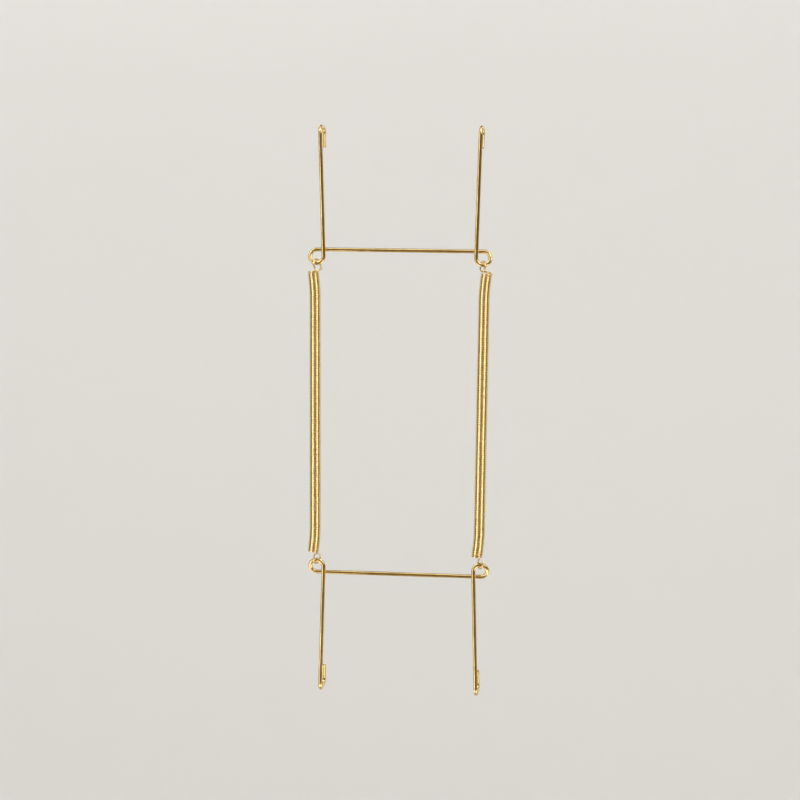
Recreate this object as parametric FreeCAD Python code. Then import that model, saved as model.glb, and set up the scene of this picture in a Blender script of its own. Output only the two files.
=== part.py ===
import FreeCAD, Part
import math
import os

# A wire plate hanger: two alike bent wires, drawn together by a pair of close-wound springs.
# Millimetres. X runs across, Z up, and the plate lies on the +Y side, where the hooks point.
# The origin is the middle of the upper bar, which hangs on a nail.

# Bent wires
WIRE_DIAMETER = 1.5
WIRE_FLATS = 12             # fine flats that draw the round of the wire
BAR_SPACING = 120.0         # upper bar to lower bar with the springs closed, centre to centre
LEG_SPACING = 56.0          # leg to leg where they cross the bar, centre to centre
LEG_REACH = 44.5            # bar to the shank of the plate hook, centre to centre
LEG_LEAN = 1.6              # degrees that each leg spreads outwards
EYE_BORE = 3.6              # inside width of the eye that holds a spring
CROSSING_GAP = 0.1          # air between the bar and the leg that passes in front of it

# Plate hooks at the ends of the legs
THROAT_WIDTH = 6.5          # clear space for the plate's rim
THROAT_INSIDE_RADIUS = 1.6
TIP_LENGTH = 5.0            # straight end past the second bend
TIP_TOE_IN = 8.0            # degrees that the tip leans back towards the leg
CUT_END_BEVEL = 0.3

# Springs
COIL_OUTSIDE = 4.25         # outside diameter of the closed coil
SPRING_WIRE = 0.65
SPRING_WIRE_FLATS = 7
COIL_BURIAL = 0.05          # cover of the coil body over the wire where an end turn leaves it
COIL_LEAN = 8.0             # degrees that each end of the coil leans away from its hook
COIL_LEAN_RADIUS = 70.0     # of the coil's axis along that lean
END_TURN_GAP = 0.2          # air that opens under the last turn as it lifts off
END_BEND_INSIDE = 0.4       # inside radius of the bend from the last turn into the hook
SPRING_HOOK_SHANK = 1.2     # straight length between that bend and the hook's round
SPRING_HOOK_PLAY = 0.85     # room beside the eye's wire inside the hook
SPRING_HOOK_SEAT = 0.3      # running gap between the hook's crown and the eye's wire
SPRING_HOOK_SWEEP = 225.0   # degrees of the hook's round, open at the tail

# Each spring hook: the side of the coil whose rim it stands over, -1 left and 1 right, and the bearing
# of its shank from the eye's wire, in degrees from +X towards +Y
SPRING_HOOKS = {
    "left_spring": {"top": (1, 60.0), "bottom": (1, -120.0)},
    "right_spring": {"top": (-1, 120.0), "bottom": (1, 120.0)},
}

X_AXIS = FreeCAD.Vector(1, 0, 0)
Y_AXIS = FreeCAD.Vector(0, 1, 0)
Z_AXIS = FreeCAD.Vector(0, 0, 1)
ORIGIN = FreeCAD.Vector(0, 0, 0)
QUARTER_TURN = 90.0
HALF_TURN = 180.0

# Worked out from the sizes above
wire_radius = WIRE_DIAMETER / 2
spring_wire_radius = SPRING_WIRE / 2
eye_radius = (EYE_BORE + WIRE_DIAMETER) / 2
leg_plane = -(WIRE_DIAMETER + CROSSING_GAP)
eye_tilt = math.asin(-leg_plane / (2 * eye_radius))
eye_drop = 2 * eye_radius * math.cos(eye_tilt)
lean = math.radians(LEG_LEAN)
leg_foot_height = eye_radius * (1 + math.sin(lean)) - eye_drop
eye_offset = LEG_SPACING / 2 + eye_radius * math.cos(lean) + leg_foot_height * math.tan(lean)
throat_bend = THROAT_INSIDE_RADIUS + wire_radius
coil_radius = COIL_OUTSIDE / 2 - COIL_BURIAL - spring_wire_radius
coil_bore_radius = coil_radius - spring_wire_radius - COIL_BURIAL
end_bend = END_BEND_INSIDE + spring_wire_radius
spring_hook_radius = wire_radius + SPRING_HOOK_PLAY + spring_wire_radius


class BentWire:
    """The centreline of a wire, laid down feed by feed and bend by bend as it is formed."""

    def __init__(self, start, heading):
        self.start = start
        self.start_heading = heading
        self.place = start
        self.heading = heading
        self.edges = []

    def feed(self, length):
        """A straight run along the present heading."""
        ahead = self.place + self.heading * length
        self.edges.append(Part.LineSegment(self.place, ahead).toShape())
        self.place = ahead

    def bend(self, radius, degrees, side):
        """A round bend, with its centre on the given side of the wire."""
        centre = self.place + side * radius
        middle = self.turned(centre, radius, degrees / 2, side)
        finish = self.turned(centre, radius, degrees, side)
        self.edges.append(Part.Arc(self.place, middle, finish).toShape())
        angle = math.radians(degrees)
        self.heading = self.heading * math.cos(angle) + side * math.sin(angle)
        self.place = finish

    def turned(self, centre, radius, degrees, side):
        """The point reached after part of a bend."""
        angle = math.radians(degrees)
        return centre - side * (radius * math.cos(angle)) + self.heading * (radius * math.sin(angle))

    def solid(self, diameter, flats):
        """The wire on this centreline, with a section of fine flats that has the area of the round one."""
        step = 2 * math.pi / flats
        corner_radius = diameter / 2 * math.sqrt(step / math.sin(step))
        corners = [FreeCAD.Vector(math.cos(turn * step), math.sin(turn * step), 0) for turn in range(flats)]
        corners = [corner * corner_radius for corner in corners]
        section = Part.makePolygon(corners + corners[:1])
        section.Placement = FreeCAD.Placement(self.start, FreeCAD.Rotation(Z_AXIS, self.start_heading))
        return Part.Wire(self.edges).makePipeShell([section], True, False)


def joined(first, others):
    """One solid of pieces that run into each other, without the seams between them."""
    return first.fuse(others).removeSplitter().Solids[0]


def half_wire_path():
    """From the middle of the upper bar, through the right eye, to the tip of the right hook."""
    path = BentWire(ORIGIN, X_AXIS)
    path.feed(eye_offset)

    # The eye drops below the bar and comes forward, so that the leg clears the bar.
    forward_and_down = FreeCAD.Vector(0, -math.sin(eye_tilt), -math.cos(eye_tilt))
    path.bend(eye_radius, HALF_TURN, forward_and_down)
    path.bend(eye_radius, QUARTER_TURN + LEG_LEAN, Z_AXIS)

    leg_way = path.heading
    rise = LEG_REACH - throat_bend - path.place.z
    path.feed(rise / math.cos(lean))
    path.bend(throat_bend, QUARTER_TURN, Y_AXIS)
    path.feed(THROAT_WIDTH - 2 * THROAT_INSIDE_RADIUS)
    path.bend(throat_bend, QUARTER_TURN + TIP_TOE_IN, leg_way * -1)
    path.feed(TIP_LENGTH)
    return path


def upper_wire():
    """One length of wire: hook, leg, eye, bar, eye, leg, hook."""
    half = half_wire_path()
    right = half.solid(WIRE_DIAMETER, WIRE_FLATS)
    right = right.makeChamfer(CUT_END_BEVEL, end_rim(right, half.place))
    return joined(right, [right.mirror(ORIGIN, X_AXIS)])


def end_rim(solid, end):
    """The edges round the cut end of a wire."""
    cut_face = min(solid.Faces, key=lambda face: face.CenterOfMass.distanceToPoint(end))
    return cut_face.Edges


def lower_wire():
    """The same wire turned end for end, below the springs."""
    middle = FreeCAD.Vector(0, 0, -BAR_SPACING / 2)
    return upper_wire().rotated(middle, Y_AXIS, HALF_TURN)


def coil_section():
    """The section across the closed coil, a plain ring."""
    rims = [Part.Wire(Part.makeCircle(radius)) for radius in (COIL_OUTSIDE / 2, coil_bore_radius)]
    return Part.makeFace(rims, "Part::FaceMakerBullseye")


def spring_end(side, bearing):
    """The upper end of a spring, from the end of the coil's straight run at the origin.

    Also returns the place of the eye's wire in the hook.
    """
    eye = FreeCAD.Vector(side * coil_radius, 0, 0)
    eye_to_shank = FreeCAD.Rotation(Z_AXIS, bearing).multVec(X_AXIS)
    shank = eye + eye_to_shank * spring_hook_radius
    shank_stand = math.sqrt(shank.Length ** 2 - end_bend ** 2)
    turned = FreeCAD.Rotation(FreeCAD.Vector(-shank_stand, -end_bend, 0), shank)
    across = turned.multVec(X_AXIS)

    # Each half turn is tilted, so that the turns climb off the coil, and the last one opens to the shank.
    half_climb = (SPRING_WIRE + END_TURN_GAP) / 2
    start = across * coil_radius - Z_AXIS * (spring_wire_radius + COIL_BURIAL)
    path = BentWire(start, turned.multVec(Y_AXIS))
    for far_side in (-coil_radius, coil_radius, -shank_stand):
        chord = across * far_side + Z_AXIS * (path.place.z + half_climb) - path.place
        path.bend(chord.Length / 2, HALF_TURN, chord.normalize())

    path.bend(end_bend, QUARTER_TURN, Z_AXIS)
    path.feed(SPRING_HOOK_SHANK)
    eye.z = path.place.z + spring_hook_radius - spring_wire_radius - SPRING_HOOK_SEAT - wire_radius
    path.bend(spring_hook_radius, SPRING_HOOK_SWEEP, eye_to_shank * -1)

    # The hook pulls at the rim, so the end of the coil leans away from it.
    lean_centre = X_AXIS * (-side * COIL_LEAN_RADIUS)
    lean_axis = Y_AXIS * -side
    lean = FreeCAD.Placement(ORIGIN, FreeCAD.Rotation(lean_axis, COIL_LEAN), lean_centre)
    leaning_coil = coil_section().revolve(lean_centre, lean_axis, COIL_LEAN)
    wire = path.solid(SPRING_WIRE, SPRING_WIRE_FLATS)
    wire.Placement = lean * wire.Placement
    return joined(leaning_coil, [wire]), lean.multVec(eye)


def spring(side, hooks):
    """A close-wound spring between the upper and the lower eye on one side, -1 left and 1 right."""
    top_end, top_eye = spring_end(*hooks["top"])
    bottom_side, bottom_bearing = hooks["bottom"]
    bottom_end, bottom_eye = spring_end(bottom_side, -bottom_bearing)
    turned_over = FreeCAD.Rotation(X_AXIS, HALF_TURN)
    bottom_end.Placement = FreeCAD.Placement(ORIGIN, turned_over) * bottom_end.Placement
    bottom_eye = turned_over.multVec(bottom_eye)

    # The straight run fills what the two ends leave of the distance between the eyes.
    eye_distance = BAR_SPACING - 2 * eye_drop
    rise = math.sqrt(eye_distance ** 2 - (top_eye.x - bottom_eye.x) ** 2)
    straight_run = Z_AXIS * (rise - top_eye.z + bottom_eye.z)
    top_end.translate(straight_run)
    top_eye += straight_run
    coil = joined(coil_section().extrude(straight_run), [top_end, bottom_end])

    lower_eye = FreeCAD.Vector(side * eye_offset, leg_plane, eye_drop - BAR_SPACING)
    upright = FreeCAD.Rotation(top_eye - bottom_eye, Z_AXIS)
    coil.Placement = FreeCAD.Placement(lower_eye - bottom_eye, upright, bottom_eye) * coil.Placement
    return coil


nodes = {
    "upper_wire": upper_wire(),
    "lower_wire": lower_wire(),
    "left_spring": spring(-1, SPRING_HOOKS["left_spring"]),
    "right_spring": spring(1, SPRING_HOOKS["right_spring"]),
}

os.makedirs("parts", exist_ok=True)
for name, shape in nodes.items():
    shape.exportStep(f"parts/{name}.step")
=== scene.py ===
import math

import bpy
from bpy.props import FloatProperty, FloatVectorProperty, IntProperty, PointerProperty
from mathutils import Matrix, Quaternion, Vector
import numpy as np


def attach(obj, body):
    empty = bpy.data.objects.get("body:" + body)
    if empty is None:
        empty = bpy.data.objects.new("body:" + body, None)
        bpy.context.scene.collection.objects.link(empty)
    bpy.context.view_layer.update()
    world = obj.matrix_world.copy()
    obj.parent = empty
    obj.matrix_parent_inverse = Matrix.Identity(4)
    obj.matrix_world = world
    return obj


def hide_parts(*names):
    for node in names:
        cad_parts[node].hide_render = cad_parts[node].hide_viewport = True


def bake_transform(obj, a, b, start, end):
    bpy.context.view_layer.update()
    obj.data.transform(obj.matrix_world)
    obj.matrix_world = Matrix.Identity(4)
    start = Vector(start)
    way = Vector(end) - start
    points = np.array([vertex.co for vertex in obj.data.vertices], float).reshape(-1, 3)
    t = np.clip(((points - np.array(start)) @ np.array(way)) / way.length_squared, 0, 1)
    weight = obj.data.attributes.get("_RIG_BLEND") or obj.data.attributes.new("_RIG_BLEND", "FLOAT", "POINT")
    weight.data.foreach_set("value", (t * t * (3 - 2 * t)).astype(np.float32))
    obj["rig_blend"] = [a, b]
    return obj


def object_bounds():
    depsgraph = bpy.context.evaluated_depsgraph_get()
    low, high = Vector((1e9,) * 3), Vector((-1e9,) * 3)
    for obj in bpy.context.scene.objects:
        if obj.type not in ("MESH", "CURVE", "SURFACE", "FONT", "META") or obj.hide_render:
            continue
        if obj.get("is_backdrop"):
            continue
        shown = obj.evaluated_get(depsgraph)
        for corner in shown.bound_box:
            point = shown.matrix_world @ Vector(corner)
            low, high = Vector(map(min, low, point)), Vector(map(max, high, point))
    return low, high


bl_info = {
    "name": "Wire Plate Hanger",
    "version": (1, 0, 0),
    "blender": (4, 5, 0),
    "location": "View3D > Sidebar > Plate Hanger",
    "description": "Adds a sprung wire plate hanger and the stage that it is shown on",
    "category": "Add Mesh",
}

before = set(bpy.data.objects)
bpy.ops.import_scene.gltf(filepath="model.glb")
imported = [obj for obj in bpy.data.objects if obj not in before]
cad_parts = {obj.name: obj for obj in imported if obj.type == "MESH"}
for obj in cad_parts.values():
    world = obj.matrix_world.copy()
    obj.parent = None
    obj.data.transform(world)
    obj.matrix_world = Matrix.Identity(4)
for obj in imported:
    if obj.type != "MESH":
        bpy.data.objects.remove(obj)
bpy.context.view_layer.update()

# Lengths are in metres. X runs across, Z up, and the plate lies on the +Y side.
MM = 0.001
X_AXIS = Vector((1, 0, 0))
Y_AXIS = Vector((0, 1, 0))
Z_AXIS = Vector((0, 0, 1))
QUARTER_TURN = math.pi / 2
HALF_TURN = math.pi
FULL_TURN = 2 * math.pi

# How finely the wires are drawn
BEND_STEP = math.radians(4)
END_ROUND_STEPS = 4
END_ROUND_RUN = 1.5                 # from a cut end to the first whole ring, over the radius of its round

# What each point of a wire tells the material
STRAIGHT_PLACE = "straight_place"   # where it lay before the wire was bent, in millimetres
BEND_SHARPNESS = "bend_sharpness"   # wire radius over bend radius

# The metal's noises, whose scales are for each millimetre
STREAK_SCALE = (7, 7, 0.05)         # fine round the wire and long along it
STREAK_ROUGHNESS = 0.6
TONE_SCALE = 0.35
GRAIN_SCALE = 2.6
HAZE_SCALE = 0.18
NOISE_MIDDLE = 0.5

# What the noises do to the metal
STREAK_TONE = 0.7
TONE_EDGE = (0.38, 0.62)
MARK_EDGE = (0.60, 0.70)
MARK_COVER = 0.45
STREAK_DULLNESS = 0.12
HAZE_DULLNESS = 0.12
MARK_DULLNESS = 0.15
BEND_DULLNESS = 0.10
BEND_RELIEF = 0.6
RELIEF_STRENGTH = 0.85

# The sockets of a Mix node that mixes colours
MIX_FACTOR = 0
MIX_FIRST = 6
MIX_SECOND = 7
MIX_RESULT = 2

# The stage
FLOOR_SLICES = 64
COVE_STEPS = 12
FLOOR_ROUGHNESS = 0.8
# The screen is a painted reflection: a dark sheet over the floor and the wall in front, seen only in the
# metal
SCREEN_WIDTH = 0.98                 # over the width of the floor's wall
SCREEN_LIFT = 0.005                 # above the floor
SCREEN_FADE = 0.6                   # where the screen starts and is whole, over the floor's radius
SCREEN_RISE = 0.7                   # height at which it has its full colour, over the cove's radius
SENSOR_WIDTH = 36                   # in millimetres

# The softboxes, width and height
LEFT_LIGHT_SIZE = (0.4, 2.1)
RIGHT_LIGHT_SIZE = (0.4, 1.6)
LOW_LIGHT_SIZE = (0.3, 0.5)
TOP_LIGHT_SIZE = (1.6, 1.2)
WALL_LIGHT_SIZE = (1.0, 0.6)

# How the low and the wall lights stand. The wall lights' place and aim, from the target, are those
# at the back on the right; the list gives each one's side, -1 left and 1 right, and -1 front and 1 back.
LOW_LIGHT_TILT = 0.2                # run towards the hanger, over rise
WALL_LIGHT_PLACE = Vector((1.0, 1.1, 1.3))
WALL_LIGHT_AIM = Vector((0.3, 2.4, 0))
WALL_LIGHTS = (
    ("back_wall_light_left", -1, 1), ("back_wall_light_right", 1, 1),
    ("front_wall_light_left", -1, -1), ("front_wall_light_right", 1, -1),
)

# Each spring hook: the side of the coil whose rim it stands over, -1 left and 1 right, and the bearing
# of its shank from the eye's wire, in degrees from +X towards +Y
SPRING_HOOKS = {
    "left": {"top": (1, 60), "bottom": (1, -120)},
    "right": {"top": (-1, 120), "bottom": (1, 120)},
}


def length(name, description, millimetres):
    return FloatProperty(
        name=name, description=description, default=millimetres * MM, min=0, precision=5, unit="LENGTH"
    )


def angle(name, description, degrees):
    return FloatProperty(name=name, description=description, default=math.radians(degrees), subtype="ANGLE")


def power(name, description, watts):
    return FloatProperty(name=name, description=description, default=watts, min=0, unit="POWER")


def factor(name, description, value):
    return FloatProperty(name=name, description=description, default=value, min=0, max=1, subtype="FACTOR")


def colour(name, description, *values):
    return FloatVectorProperty(
        name=name, description=description, default=(*values, 1), size=4, min=0, max=1, subtype="COLOR"
    )


def count(name, description, value, least):
    return IntProperty(name=name, description=description, default=value, min=least)


class HangerSizes(bpy.types.PropertyGroup):
    """The sizes of the bent wires and of the springs."""

    wire_diameter: length("Wire", "Diameter of the bent wires", 1.5)
    bar_spacing: length("Bar spacing", "Upper bar to lower bar, centre to centre", 120)
    leg_spacing: length("Leg spacing", "Leg to leg where they cross the bar", 56)
    leg_reach: length("Leg reach", "Bar to the shank of the plate hook", 44.5)
    leg_lean: angle("Leg lean", "How far each leg spreads outwards", 1.6)
    eye_bore: length("Eye bore", "Inside width of the eye that holds a spring", 3.6)
    crossing_gap: length("Crossing gap", "Air between the bar and the leg in front of it", 0.1)
    throat_width: length("Throat", "Clear space for the plate's rim", 6.5)
    throat_inside: length("Throat radius", "Inside radius of the plate hook's bends", 1.6)
    tip_length: length("Tip", "Straight end of the plate hook", 5)
    tip_toe_in: angle("Tip toe-in", "How far the tip leans back towards the leg", 8)
    cut_round: length("Cut end", "Round at the rim of a cut end", 0.3)
    wire_sides: count("Wire sides", "Faces round a bent wire", 32, 8)

    coil_outside: length("Coil", "Outside diameter of the closed coil", 4.25)
    spring_wire: length("Spring wire", "Diameter of the spring wire", 0.65)
    coil_cover: length("Coil cover", "Depth below the coil's end where its last turns lift off", 0.05)
    coil_lean: angle("Coil lean", "How far each end of the coil leans away from its hook", 8)
    coil_lean_radius: length("Coil lean radius", "Radius of the coil's axis along that lean", 70)
    end_turn_gap: length("End turn gap", "Air that opens under the last turn", 0.2)
    end_bend_inside: length("End bend", "Inside radius of the bend from the last turn into the hook", 0.4)
    hook_shank: length("Hook shank", "Straight length between that bend and the hook's round", 1.2)
    hook_play: length("Hook play", "Room beside the eye's wire inside the hook", 0.85)
    hook_seat: length("Hook seat", "Gap between the hook's crown and the eye's wire", 0.3)
    hook_sweep: angle("Hook sweep", "Sweep of the hook's round, open at the tail", 225)
    spring_cut_round: length("Spring cut end", "Round at the rim of a cut end of spring wire", 0.1)
    spring_sides: count("Spring sides", "Faces round the spring wire", 10, 6)
    turn_steps: count("Turn steps", "Steps round one turn of a coil", 28, 12)


class HangerFinish(bpy.types.PropertyGroup):
    """The look of the metal."""

    wire_bright: colour("Wire, bright", "Colour of the bent wires at their cleanest", 0.88, 0.69, 0.34)
    wire_deep: colour("Wire, deep", "Colour of the bent wires at their deepest tone", 0.78, 0.57, 0.23)
    wire_roughness: factor("Wire roughness", "Roughness of the bent wires", 0.10)
    spring_bright: colour("Springs, bright", "Colour of the springs at their cleanest", 0.89, 0.715, 0.37)
    spring_deep: colour("Springs, deep", "Colour of the springs at their deepest tone", 0.84, 0.65, 0.30)
    spring_roughness: factor("Spring roughness", "Roughness of the springs", 0.17)
    mark: colour("Marks", "Colour of the small dull marks", 0.22, 0.14, 0.05)
    streak_depth: length("Streak depth", "Depth of the streaks left by drawing the wire", 0.02)


class HangerStage(bpy.types.PropertyGroup):
    """The camera, the floor, the screen of painted reflection and the lights."""

    camera_distance: length("Camera distance", "From the camera to what it looks at", 800)
    camera_azimuth: angle("Camera azimuth", "Round from the front towards +X", 7.457)
    camera_elevation: angle("Camera elevation", "Height of the camera", 7.469)
    camera_roll: angle("Camera roll", "Turn of the camera about its own axis", 0.278)
    camera_lens: FloatProperty(
        name="Lens", description="Focal length in millimetres", default=98.1, min=1, unit="CAMERA"
    )
    target: FloatVectorProperty(
        name="Target", description="What the camera looks at", default=(0.000203, 0, -0.054857),
        subtype="XYZ", unit="LENGTH",
    )

    floor_drop: length("Floor drop", "Room under the hanger", 650)
    floor_radius: length("Floor radius", "Flat part of the floor", 1500)
    cove_radius: length("Cove radius", "Round between the floor and the wall", 900)
    wall_height: length("Wall height", "Straight part of the wall", 1500)
    floor_colour: colour("Floor", "Colour of the floor and the wall", 0.80, 0.795, 0.78)
    # The screen's colours are painted reflection, a dim room seen only in the metal, paler at its foot
    painted_reflection_colour: colour("Screen", "Colour of the screen that the metal mirrors", 0.20, 0.13, 0.05)
    painted_reflection_foot_colour: colour("Screen foot", "Colour of that screen at the floor", 0.29, 0.215, 0.12)
    room_colour: colour("Room", "Colour of the light from all round", 1, 0.80, 0.52)
    room_light: factor("Room light", "Strength of the light from all round", 0.13)

    side_light_distance: length("Side light distance", "From the target to the left and right softbox", 1100)
    left_light: power("Left light", "Power of the tall softbox on the left", 6)
    left_light_angle: angle("Left light angle", "Round from the camera to the left softbox", 58)
    left_light_height: length("Left light height", "Middle of the left softbox above the target", 550)
    right_light: power("Right light", "Power of the raised softbox on the right", 7.5)
    right_light_angle: angle("Right light angle", "Round from the camera to the right softbox", 50)
    right_light_height: length("Right light height", "Middle of the right softbox above the target", 1000)
    low_light: power("Low lights", "Power of each softbox near the floor", 1.2)
    low_light_distance: length("Low light distance", "From the target to each softbox near the floor", 460)
    low_light_height: length("Low light height", "Height of those softboxes above the floor", 350)
    top_light: power("Top light", "Power of the softbox above", 7)
    top_light_elevation: angle("Top light elevation", "How high the softbox above stands", 75)
    top_light_distance: length("Top light distance", "From the target to the softbox above", 1300)
    wall_light: power("Wall lights", "Power of each light on the wall", 10)


class BentWire:
    """The centreline of a wire, laid down feed by feed and bend by bend as it is formed."""

    def __init__(self, start, heading):
        self.points = [start.copy()]
        self.heading = heading.copy()

    @property
    def place(self):
        return self.points[-1]

    def feed(self, distance):
        """A straight run along the present heading."""
        self.points.append(self.place + self.heading * distance)

    def bend(self, radius, sweep, side):
        """A round bend, with its centre on the given side of the wire."""
        start = self.place
        ahead = self.heading
        steps = math.ceil(sweep / BEND_STEP)
        for step in range(1, steps + 1):
            turn = sweep * step / steps
            aside = side * (radius * (1 - math.cos(turn)))
            self.points.append(start + aside + ahead * (radius * math.sin(turn)))
        self.heading = ahead * math.cos(sweep) + side * math.sin(sweep)


def rings_along(points, radius, end_round):
    """Where rings of the wire's skin stand: place, heading, ring radius and number of the nearest point."""
    last = len(points) - 1
    rings = []
    for number_of_point, place in enumerate(points):
        before = points[max(number_of_point - 1, 0)]
        after = points[min(number_of_point + 1, last)]
        rings.append((place, (after - before).normalized(), radius, number_of_point))
    return end_rings(rings[0], end_round, 1) + rings[1:-1] + end_rings(rings[-1], end_round, -1)[::-1]


def end_rings(ring, end_round, inwards):
    """The rings that round off the rim of a cut end, from the end inwards."""
    place, heading, radius, number_of_point = ring
    rings = []
    for step in range(END_ROUND_STEPS + 1):
        turn = QUARTER_TURN * step / END_ROUND_STEPS
        depth = end_round * (1 - math.cos(turn))
        inset = end_round * (1 - math.sin(turn))
        rings.append((place + heading * (depth * inwards), heading, radius - inset, number_of_point))
    whole_ring = place + heading * (END_ROUND_RUN * end_round * inwards)
    rings.append((whole_ring, heading, radius, number_of_point))
    return rings


def smooth_object(name, vertices, faces, material):
    """An object with a smooth skin in one material."""
    mesh = bpy.data.meshes.new(name)
    mesh.from_pydata(vertices, [], faces)
    mesh.shade_smooth()
    mesh.materials.append(material)
    made = bpy.data.objects.new(name, mesh)
    bpy.context.scene.collection.objects.link(made)
    return made


def wire_piece(name, points, radius, sides, end_round, material):
    """A piece of round wire on a centreline, and the number of the nearest point for each of its vertices."""
    rings = rings_along(points, radius, end_round)
    heading = rings[0][1]
    normal = heading.orthogonal().normalized()
    travelled = 0.0
    vertices = []
    straight_places = []
    sharpness = []
    nearest_points = []
    for index, (place, next_heading, ring_radius, nearest) in enumerate(rings):
        step = (place - rings[max(index - 1, 0)][0]).length
        turn = heading.angle(next_heading)
        normal = heading.rotation_difference(next_heading) @ normal
        normal = (normal - next_heading * normal.dot(next_heading)).normalized()
        heading = next_heading
        travelled += step
        binormal = heading.cross(normal)
        ring_sharpness = min(1.0, radius * turn / step) if step > 0 else 0.0
        for side in range(sides):
            around = FULL_TURN * side / sides
            offset = normal * math.cos(around) + binormal * math.sin(around)
            straight = Vector((ring_radius * math.cos(around), ring_radius * math.sin(around), travelled))
            vertices.append(place + offset * ring_radius)
            straight_places.extend(straight / MM)
            sharpness.append(ring_sharpness)
            nearest_points.append(nearest)

    faces = []
    for ring in range(len(rings) - 1):
        here = ring * sides
        ahead = here + sides
        for side in range(sides):
            beside = (side + 1) % sides
            faces.append((here + side, here + beside, ahead + beside, ahead + side))
    faces.append(tuple(reversed(range(sides))))
    faces.append(tuple(range(len(vertices) - sides, len(vertices))))

    piece = smooth_object(name, vertices, faces, material)
    attributes = piece.data.attributes
    attributes.new(STRAIGHT_PLACE, "FLOAT_VECTOR", "POINT").data.foreach_set("vector", straight_places)
    attributes.new(BEND_SHARPNESS, "FLOAT", "POINT").data.foreach_set("value", sharpness)
    return piece, nearest_points


class Eye:
    """The eye of a bent wire: its sizes and its place, which the springs share."""

    def __init__(self, sizes):
        self.radius = (sizes.eye_bore + sizes.wire_diameter) / 2
        self.leg_plane = -(sizes.wire_diameter + sizes.crossing_gap)
        self.tilt = math.asin(-self.leg_plane / (2 * self.radius))
        self.drop = 2 * self.radius * math.cos(self.tilt)
        leg_foot_height = self.radius * (1 + math.sin(sizes.leg_lean)) - self.drop
        leg_to_eye = self.radius * math.cos(sizes.leg_lean) + leg_foot_height * math.tan(sizes.leg_lean)
        self.offset = sizes.leg_spacing / 2 + leg_to_eye


def half_wire_points(sizes):
    """From the middle of the upper bar, through the right eye, to the tip of the right hook."""
    eye = Eye(sizes)
    throat_bend = sizes.throat_inside + sizes.wire_diameter / 2
    path = BentWire(Vector(), X_AXIS)
    path.feed(eye.offset)

    # The eye drops below the bar and comes forward, so that the leg clears the bar.
    path.bend(eye.radius, HALF_TURN, Vector((0, -math.sin(eye.tilt), -math.cos(eye.tilt))))
    path.bend(eye.radius, QUARTER_TURN + sizes.leg_lean, Z_AXIS)
    leg_way = path.heading
    path.feed((sizes.leg_reach - throat_bend - path.place.z) / math.cos(sizes.leg_lean))

    path.bend(throat_bend, QUARTER_TURN, Y_AXIS)
    path.feed(sizes.throat_width - 2 * sizes.throat_inside)
    path.bend(throat_bend, QUARTER_TURN + sizes.tip_toe_in, -leg_way)
    path.feed(sizes.tip_length)
    return path.points


def upper_wire_points(sizes):
    """The whole upper wire, from the left hook to the right one."""
    right = half_wire_points(sizes)
    left = [Vector((-point.x, point.y, point.z)) for point in right[:0:-1]]
    return left + right


def turned_end_for_end(points, sizes):
    """The same wire below the springs."""
    return [Vector((-point.x, point.y, -sizes.bar_spacing - point.z)) for point in points]


class SpringEnd:
    """The upper end of a spring, from the end of the coil's straight run at the origin."""

    def __init__(self, sizes, side, bearing):
        wire_radius = sizes.spring_wire / 2
        self.side = side
        self.lean = sizes.coil_lean
        self.lean_radius = sizes.coil_lean_radius
        self.coil_radius = sizes.coil_outside / 2 - wire_radius
        end_bend = sizes.end_bend_inside + wire_radius
        hook_radius = sizes.wire_diameter / 2 + sizes.hook_play + wire_radius

        eye = X_AXIS * (side * (self.coil_radius - sizes.coil_cover))
        eye_to_shank = Vector((math.cos(bearing), math.sin(bearing), 0))
        shank = eye + eye_to_shank * hook_radius
        shank_stand = math.sqrt(shank.length_squared - end_bend ** 2)
        self.start_bearing = math.atan2(shank.y, shank.x) - math.atan2(-end_bend, -shank_stand)
        across = Vector((math.cos(self.start_bearing), math.sin(self.start_bearing), 0))

        # Each half turn is tilted, so that the turns climb off the coil, and the last one opens to the shank.
        half_climb = (sizes.spring_wire + sizes.end_turn_gap) / 2
        self.start_depth = wire_radius + sizes.coil_cover
        path = BentWire(across * self.coil_radius - Z_AXIS * self.start_depth, Z_AXIS.cross(across))
        for far_side in (-self.coil_radius, self.coil_radius, -shank_stand):
            chord = across * far_side + Z_AXIS * (path.place.z + half_climb) - path.place
            path.bend(chord.length / 2, HALF_TURN, chord.normalized())

        path.bend(end_bend, QUARTER_TURN, Z_AXIS)
        path.feed(sizes.hook_shank)
        eye.z = path.place.z + hook_radius - wire_radius - sizes.hook_seat - sizes.wire_diameter / 2
        path.bend(hook_radius, sizes.hook_sweep, -eye_to_shank)

        self.points = [self.leaned(point) for point in path.points]
        self.eye = self.leaned(eye)

    def leaned(self, point, share=1.0):
        """A point by the end of the coil, after the coil's lean or a share of it."""
        centre = X_AXIS * (-self.side * self.lean_radius)
        return Quaternion(Y_AXIS * -self.side, self.lean * share) @ (point - centre) + centre


def turned_over(point):
    """Half a turn about X, which takes an upper end to a lower one."""
    return Vector((point.x, -point.y, -point.z))


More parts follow.
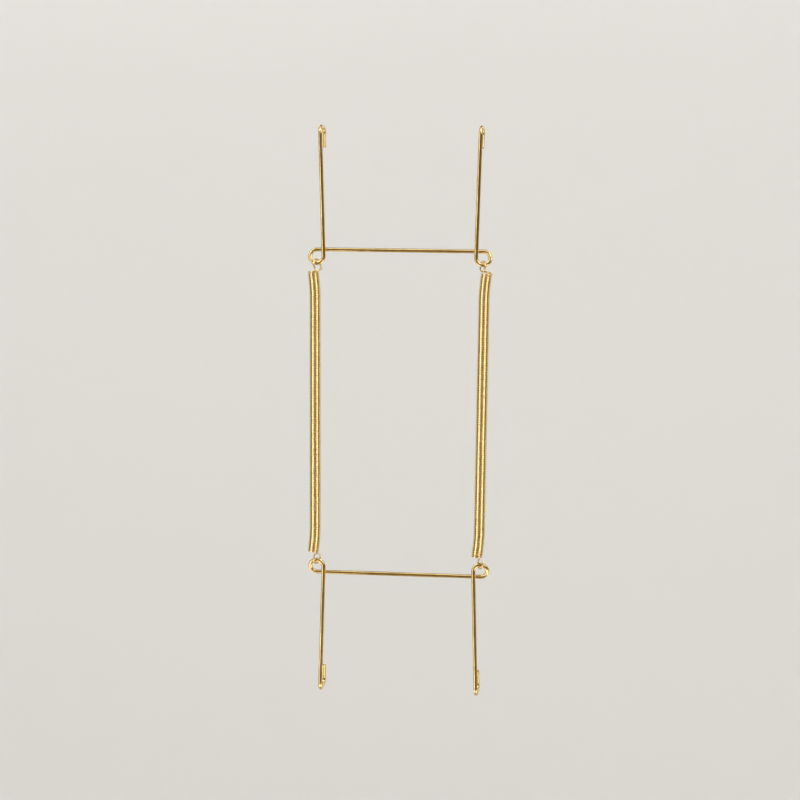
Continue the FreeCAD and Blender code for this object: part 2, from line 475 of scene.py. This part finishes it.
def spring_points(sizes, side, hooks):
    """The centreline of a spring from its lower hook up, and each point's share of the stretch."""
    top_side, top_bearing = hooks["top"]
    bottom_side, bottom_bearing = hooks["bottom"]
    top = SpringEnd(sizes, top_side, math.radians(top_bearing))
    bottom = SpringEnd(sizes, bottom_side, -math.radians(bottom_bearing))
    eye = Eye(sizes)
    top_eye = top.eye
    bottom_eye = turned_over(bottom.eye)

    # The straight run fills what the two ends leave of the distance between the eyes.
    eye_distance = sizes.bar_spacing - 2 * eye.drop
    rise = math.sqrt(eye_distance ** 2 - (top_eye.x - bottom_eye.x) ** 2)
    run = rise - top_eye.z + bottom_eye.z
    lean_length = sizes.coil_lean * sizes.coil_lean_radius

    # The turns lie close, and their count is such that they meet both ends.
    coil_length = run + 2 * lean_length - top.start_depth - bottom.start_depth
    part_turn = (top.start_bearing + bottom.start_bearing) / FULL_TURN
    turns = round(coil_length / sizes.spring_wire - part_turn) + part_turn
    steps = round(turns * sizes.turn_steps)

    points = [turned_over(point) for point in reversed(bottom.points)]
    shares = [1.0] * len(points)
    for step in range(1, steps):
        share = step / steps
        bearing = FULL_TURN * turns * share - bottom.start_bearing
        out = Vector((math.cos(bearing), math.sin(bearing), 0)) * top.coil_radius
        climbed = bottom.start_depth - lean_length + coil_length * share
        if climbed < 0:
            place = turned_over(bottom.leaned(turned_over(out), -climbed / lean_length))
        elif climbed > run:
            place = top.leaned(out, (climbed - run) / lean_length) + Z_AXIS * run
        else:
            place = out + Z_AXIS * climbed
        points.append(place)
        shares.append(1 - share)
    points.extend(point + Z_AXIS * run for point in top.points)
    shares.extend([0.0] * len(top.points))

    upright = (top_eye + Z_AXIS * run - bottom_eye).rotation_difference(Z_AXIS)
    lower_eye = Vector((side * eye.offset, eye.leg_plane, eye.drop - sizes.bar_spacing))
    points = [upright @ (point - bottom_eye) + lower_eye for point in points]
    return points, shares


class Shade:
    """A socket of a material's nodes. Arithmetic on it adds Math nodes, and node() adds any other node."""

    def __init__(self, tree, socket=None):
        self.tree = tree
        self.socket = socket

    def node(self, kind, settings=None, sockets=None, output=0):
        """Adds a node, makes its settings, then fills its sockets with values or links."""
        made = self.tree.nodes.new(kind)
        for name, setting in (settings or {}).items():
            setattr(made, name, setting)
        for name, given in (sockets or {}).items():
            if isinstance(given, Shade):
                self.tree.links.new(given.socket, made.inputs[name])
            else:
                made.inputs[name].default_value = given
        return Shade(self.tree, made.outputs[output] if len(made.outputs) else None)

    def maths(self, operation, first, second):
        return self.node("ShaderNodeMath", {"operation": operation}, {0: first, 1: second})

    def __add__(self, other):
        return self.maths("ADD", self, other)

    def __radd__(self, other):
        return self.maths("ADD", other, self)

    def __sub__(self, other):
        return self.maths("SUBTRACT", self, other)

    def __rsub__(self, other):
        return self.maths("SUBTRACT", other, self)

    def __mul__(self, other):
        return self.maths("MULTIPLY", self, other)

    def __rmul__(self, other):
        return self.maths("MULTIPLY", other, self)


def new_material(name):
    """A material without nodes, and the wrapper that adds them."""
    material = bpy.data.materials.new(name)
    material.use_nodes = True
    material.node_tree.nodes.clear()
    return material, Shade(material.node_tree)


def noise(shade, place, scale, detail, roughness=0.5):
    return shade.node("ShaderNodeTexNoise", sockets={
        "Vector": place, "Scale": scale, "Detail": detail, "Roughness": roughness,
    })


def smooth_step(shade, value, start, end):
    """From 0 to 1 as the value goes from start to end."""
    return shade.node("ShaderNodeMapRange", {"interpolation_type": "SMOOTHSTEP"}, {
        "Value": value, "From Min": start, "From Max": end,
    })


def mixed_colour(shade, share, first, second):
    """The first colour where the share is 0, and the second where it is 1."""
    return shade.node("ShaderNodeMix", {"data_type": "RGBA"}, {
        MIX_FACTOR: share, MIX_FIRST: first, MIX_SECOND: second,
    }, MIX_RESULT)


def wire_metal(name, bright, deep, roughness, finish):
    """Drawn metal: streaks along the wire, an uneven tone, haze, small marks and dull, grainy bends."""
    material, shade = new_material(name)
    place = shade.node("ShaderNodeAttribute", {"attribute_name": STRAIGHT_PLACE}, output="Vector")
    bends = shade.node("ShaderNodeAttribute", {"attribute_name": BEND_SHARPNESS}, output="Fac")
    drawn = shade.node("ShaderNodeVectorMath", {"operation": "MULTIPLY"}, {0: place, 1: STREAK_SCALE})

    streaks = noise(shade, drawn, 1, detail=4, roughness=STREAK_ROUGHNESS)
    tone = noise(shade, place, TONE_SCALE, detail=3)
    grain = noise(shade, place, GRAIN_SCALE, detail=5)
    haze = noise(shade, place, HAZE_SCALE, detail=2)
    marks = smooth_step(shade, grain, *MARK_EDGE)

    depth = smooth_step(shade, tone + (streaks - NOISE_MIDDLE) * STREAK_TONE, *TONE_EDGE)
    metal = mixed_colour(shade, depth, bright, deep)
    marked = mixed_colour(shade, marks * MARK_COVER, metal, finish.mark)
    uneven = (streaks - NOISE_MIDDLE) * STREAK_DULLNESS + (haze - NOISE_MIDDLE) * HAZE_DULLNESS
    dullness = roughness + uneven + marks * MARK_DULLNESS + bends * BEND_DULLNESS
    relief = shade.node("ShaderNodeBump", sockets={
        "Strength": RELIEF_STRENGTH, "Distance": finish.streak_depth,
        "Height": streaks + bends * grain * BEND_RELIEF,
    })
    surface = shade.node("ShaderNodeBsdfPrincipled", sockets={
        "Base Color": marked, "Metallic": 1.0, "Roughness": dullness, "Normal": relief,
    })
    shade.node("ShaderNodeOutputMaterial", sockets={"Surface": surface})
    return material


class HANGER_OT_bent_wires(bpy.types.Operator):
    """Adds the two bent wires, each with its bar, eyes, legs and plate hooks"""

    bl_idname = "hanger.bent_wires"
    bl_label = "Bent Wires"

    def execute(self, context):
        sizes = context.scene.hanger_sizes
        finish = context.scene.hanger_finish
        metal = wire_metal("brass_wire", finish.wire_bright, finish.wire_deep, finish.wire_roughness, finish)
        radius = sizes.wire_diameter / 2
        upper = upper_wire_points(sizes)
        lower = turned_end_for_end(upper, sizes)
        for level, points in (("upper", upper), ("lower", lower)):
            name = f"bent_wire_{level}"
            piece, _ = wire_piece(name, points, radius, sizes.wire_sides, sizes.cut_round, metal)
            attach(piece, f"{level}_wire")
            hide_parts(f"{level}_wire")
        return {"FINISHED"}


class HANGER_OT_springs(bpy.types.Operator):
    """Adds the two close-wound springs, whose turns open as they stretch"""

    bl_idname = "hanger.springs"
    bl_label = "Springs"

    def execute(self, context):
        sizes = context.scene.hanger_sizes
        finish = context.scene.hanger_finish
        metal = wire_metal(
            "spring_wire", finish.spring_bright, finish.spring_deep, finish.spring_roughness, finish
        )
        radius = sizes.spring_wire / 2
        for hand, side in (("left", -1), ("right", 1)):
            name = f"coil_spring_{hand}"
            points, shares = spring_points(sizes, side, SPRING_HOOKS[hand])
            piece, nearest_points = wire_piece(
                name, points, radius, sizes.spring_sides, sizes.spring_cut_round, metal
            )
            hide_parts(f"{hand}_spring")
            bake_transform(piece, "left_spring", "right_spring", start=points[-1], end=points[0])

            # Each turn moves whole, so the coil opens evenly and its wire keeps its round.
            share_of_vertex = [shares[nearest] for nearest in nearest_points]
            piece.data.attributes["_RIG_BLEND"].data.foreach_set("value", share_of_vertex)
        return {"FINISHED"}


def bowl(stage, floor_level, share_of_width):
    """The vertices and faces of a round floor that turns up into a wall all round."""
    profile = [(0, 0), (stage.floor_radius, 0)]
    for step in range(1, COVE_STEPS + 1):
        turn = QUARTER_TURN * step / COVE_STEPS
        out = stage.floor_radius + stage.cove_radius * math.sin(turn)
        profile.append((out, stage.cove_radius * (1 - math.cos(turn))))
    profile.append((profile[-1][0], profile[-1][1] + stage.wall_height))

    vertices = []
    faces = []
    rows = len(profile)
    for slice_number in range(FLOOR_SLICES):
        bearing = FULL_TURN * slice_number / FLOOR_SLICES
        way = Vector((math.cos(bearing), math.sin(bearing), 0))
        for out, up in profile:
            vertices.append(way * (out * share_of_width) + Z_AXIS * (floor_level + up))
        here = slice_number * rows
        beside = (slice_number + 1) % FLOOR_SLICES * rows
        for row in range(rows - 1):
            faces.append((here + row, here + row + 1, beside + row + 1, beside + row))
    return vertices, faces


def stage_floor(stage, floor_level):
    """The pale floor and the wall round it."""
    material, shade = new_material("floor")
    surface = shade.node("ShaderNodeBsdfPrincipled", sockets={
        "Base Color": stage.floor_colour, "Roughness": FLOOR_ROUGHNESS,
    })
    shade.node("ShaderNodeOutputMaterial", sockets={"Surface": surface})
    smooth_object("floor", *bowl(stage, floor_level, 1), material)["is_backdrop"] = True


def stage_painted_reflection(stage, floor_level):
    """A dark screen over the floor and the wall in front of the hanger, which shows only in the metal: a
    painted reflection standing in for a dim room, paler at the floor.
    """
    material, shade = new_material("screen")
    place = shade.node("ShaderNodeNewGeometry", output="Position")
    back = shade.node("ShaderNodeSeparateXYZ", sockets={"Vector": place}, output="Y")
    up = shade.node("ShaderNodeSeparateXYZ", sockets={"Vector": place}, output="Z")
    fade = SCREEN_FADE * stage.floor_radius
    in_front = smooth_step(shade, back, fade, -fade)
    off_floor = smooth_step(shade, up, floor_level, floor_level + SCREEN_RISE * stage.cove_radius)
    surface = shade.node("ShaderNodeBsdfPrincipled", sockets={
        "Base Color": mixed_colour(shade, off_floor, stage.painted_reflection_foot_colour, stage.painted_reflection_colour),
        "Roughness": FLOOR_ROUGHNESS, "Alpha": in_front,
    })
    shade.node("ShaderNodeOutputMaterial", sockets={"Surface": surface})
    screen = smooth_object("screen", *bowl(stage, floor_level + SCREEN_LIFT, SCREEN_WIDTH), material)
    # Hidden from the camera, from diffuse light and from shadows, so it shows only as a painted reflection in
    # the metal
    screen.visible_camera = False
    screen.visible_diffuse = False
    screen.visible_shadow = False
    screen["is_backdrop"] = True


def softbox(name, place, target, size, watts):
    """A flat soft light that faces its target."""
    lamp = bpy.data.lights.new(name, "AREA")
    lamp.shape = "RECTANGLE"
    lamp.size, lamp.size_y = size
    lamp.energy = watts
    light = bpy.data.objects.new(name, lamp)
    light.location = place
    light.rotation_euler = (target - place).to_track_quat("-Z", "Y").to_euler()
    bpy.context.scene.collection.objects.link(light)


def way_from(azimuth, elevation):
    """The direction at an azimuth, round from the front towards +X, and an elevation."""
    level = math.cos(elevation)
    return Vector((math.sin(azimuth) * level, -math.cos(azimuth) * level, math.sin(elevation)))


def stage_lights(stage, target, floor_level):
    """Softboxes either side of the camera, near the floor and above the hanger, and lights on the wall."""
    left_way = way_from(stage.camera_azimuth - stage.left_light_angle, 0)
    left_level = target + Z_AXIS * stage.left_light_height
    left_place = left_level + left_way * stage.side_light_distance
    softbox("left_light", left_place, left_level, LEFT_LIGHT_SIZE, stage.left_light)

    # The right one stands above the level of the hanger, so the straight legs have a dark side.
    right_way = way_from(stage.camera_azimuth + stage.right_light_angle, 0)
    right_level = target + Z_AXIS * stage.right_light_height
    right_place = right_level + right_way * stage.side_light_distance
    softbox("right_light", right_place, right_level, RIGHT_LIGHT_SIZE, stage.right_light)

    # The low ones light the undersides of the springs' turns.
    for name, way in (("low_light_left", left_way), ("low_light_right", right_way)):
        place = target + way * stage.low_light_distance
        place.z = floor_level + stage.low_light_height
        softbox(name, place, place + Z_AXIS - way * LOW_LIGHT_TILT, LOW_LIGHT_SIZE, stage.low_light)

    top_place = target + way_from(0, stage.top_light_elevation) * stage.top_light_distance
    softbox("top_light", top_place, target, TOP_LIGHT_SIZE, stage.top_light)
    for name, side, back in WALL_LIGHTS:
        mirrored = Vector((side, back, 1))
        place = target + WALL_LIGHT_PLACE * mirrored
        aim = target + WALL_LIGHT_AIM * mirrored
        softbox(name, place, aim, WALL_LIGHT_SIZE, stage.wall_light)


def stage_room(stage):
    """The dim light from all round."""
    room = bpy.data.worlds.new("room")
    room.use_nodes = True
    background = room.node_tree.nodes["Background"]
    background.inputs["Color"].default_value = stage.room_colour
    background.inputs["Strength"].default_value = stage.room_light
    bpy.context.scene.world = room


def stage_camera(stage, target):
    """The camera at the photograph's angle."""
    lens = bpy.data.cameras.new("camera")
    lens.lens = stage.camera_lens
    lens.sensor_width = SENSOR_WIDTH
    lens.dof.use_dof = False
    camera = bpy.data.objects.new("camera", lens)
    back = way_from(stage.camera_azimuth, stage.camera_elevation)
    right = Z_AXIS.cross(back).normalized()
    upright = Matrix((right, back.cross(right), back)).transposed()
    rolled = upright @ Matrix.Rotation(stage.camera_roll, 3, "Z")
    camera.matrix_world = Matrix.Translation(target + back * stage.camera_distance) @ rolled.to_4x4()
    bpy.context.scene.collection.objects.link(camera)
    bpy.context.scene.camera = camera


class HANGER_OT_stage(bpy.types.Operator):
    """Adds the floor, the screen of painted reflection, the soft lights and the camera"""

    bl_idname = "hanger.stage"
    bl_label = "Stage"

    def execute(self, context):
        stage = context.scene.hanger_stage
        target = Vector(stage.target)
        floor_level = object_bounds()[0][2] - stage.floor_drop
        stage_floor(stage, floor_level)
        stage_painted_reflection(stage, floor_level)
        stage_lights(stage, target, floor_level)
        stage_room(stage)
        stage_camera(stage, target)
        context.scene.view_settings.view_transform = "Standard"
        return {"FINISHED"}


class HANGER_PT_panel(bpy.types.Panel):
    """Lists what the hanger is made of"""

    bl_idname = "HANGER_PT_panel"
    bl_label = "Wire Plate Hanger"
    bl_space_type = "VIEW_3D"
    bl_region_type = "UI"
    bl_category = "Plate Hanger"

    def draw(self, context):
        for operator in OPERATORS:
            self.layout.operator(operator.bl_idname)
        for group in (context.scene.hanger_sizes, context.scene.hanger_finish, context.scene.hanger_stage):
            box = self.layout.box()
            for name in group.bl_rna.properties.keys():
                if name not in ("rna_type", "name"):
                    box.prop(group, name)


OPERATORS = (HANGER_OT_bent_wires, HANGER_OT_springs, HANGER_OT_stage)
CLASSES = (HangerSizes, HangerFinish, HangerStage, *OPERATORS, HANGER_PT_panel)


def register():
    for each in CLASSES:
        bpy.utils.register_class(each)
    bpy.types.Scene.hanger_sizes = PointerProperty(type=HangerSizes)
    bpy.types.Scene.hanger_finish = PointerProperty(type=HangerFinish)
    bpy.types.Scene.hanger_stage = PointerProperty(type=HangerStage)


def unregister():
    del bpy.types.Scene.hanger_stage
    del bpy.types.Scene.hanger_finish
    del bpy.types.Scene.hanger_sizes
    for each in reversed(CLASSES):
        bpy.utils.unregister_class(each)


def main():
    register()
    bpy.ops.hanger.bent_wires()
    bpy.ops.hanger.springs()
    bpy.ops.hanger.stage()


if __name__ == "__main__":
    main()
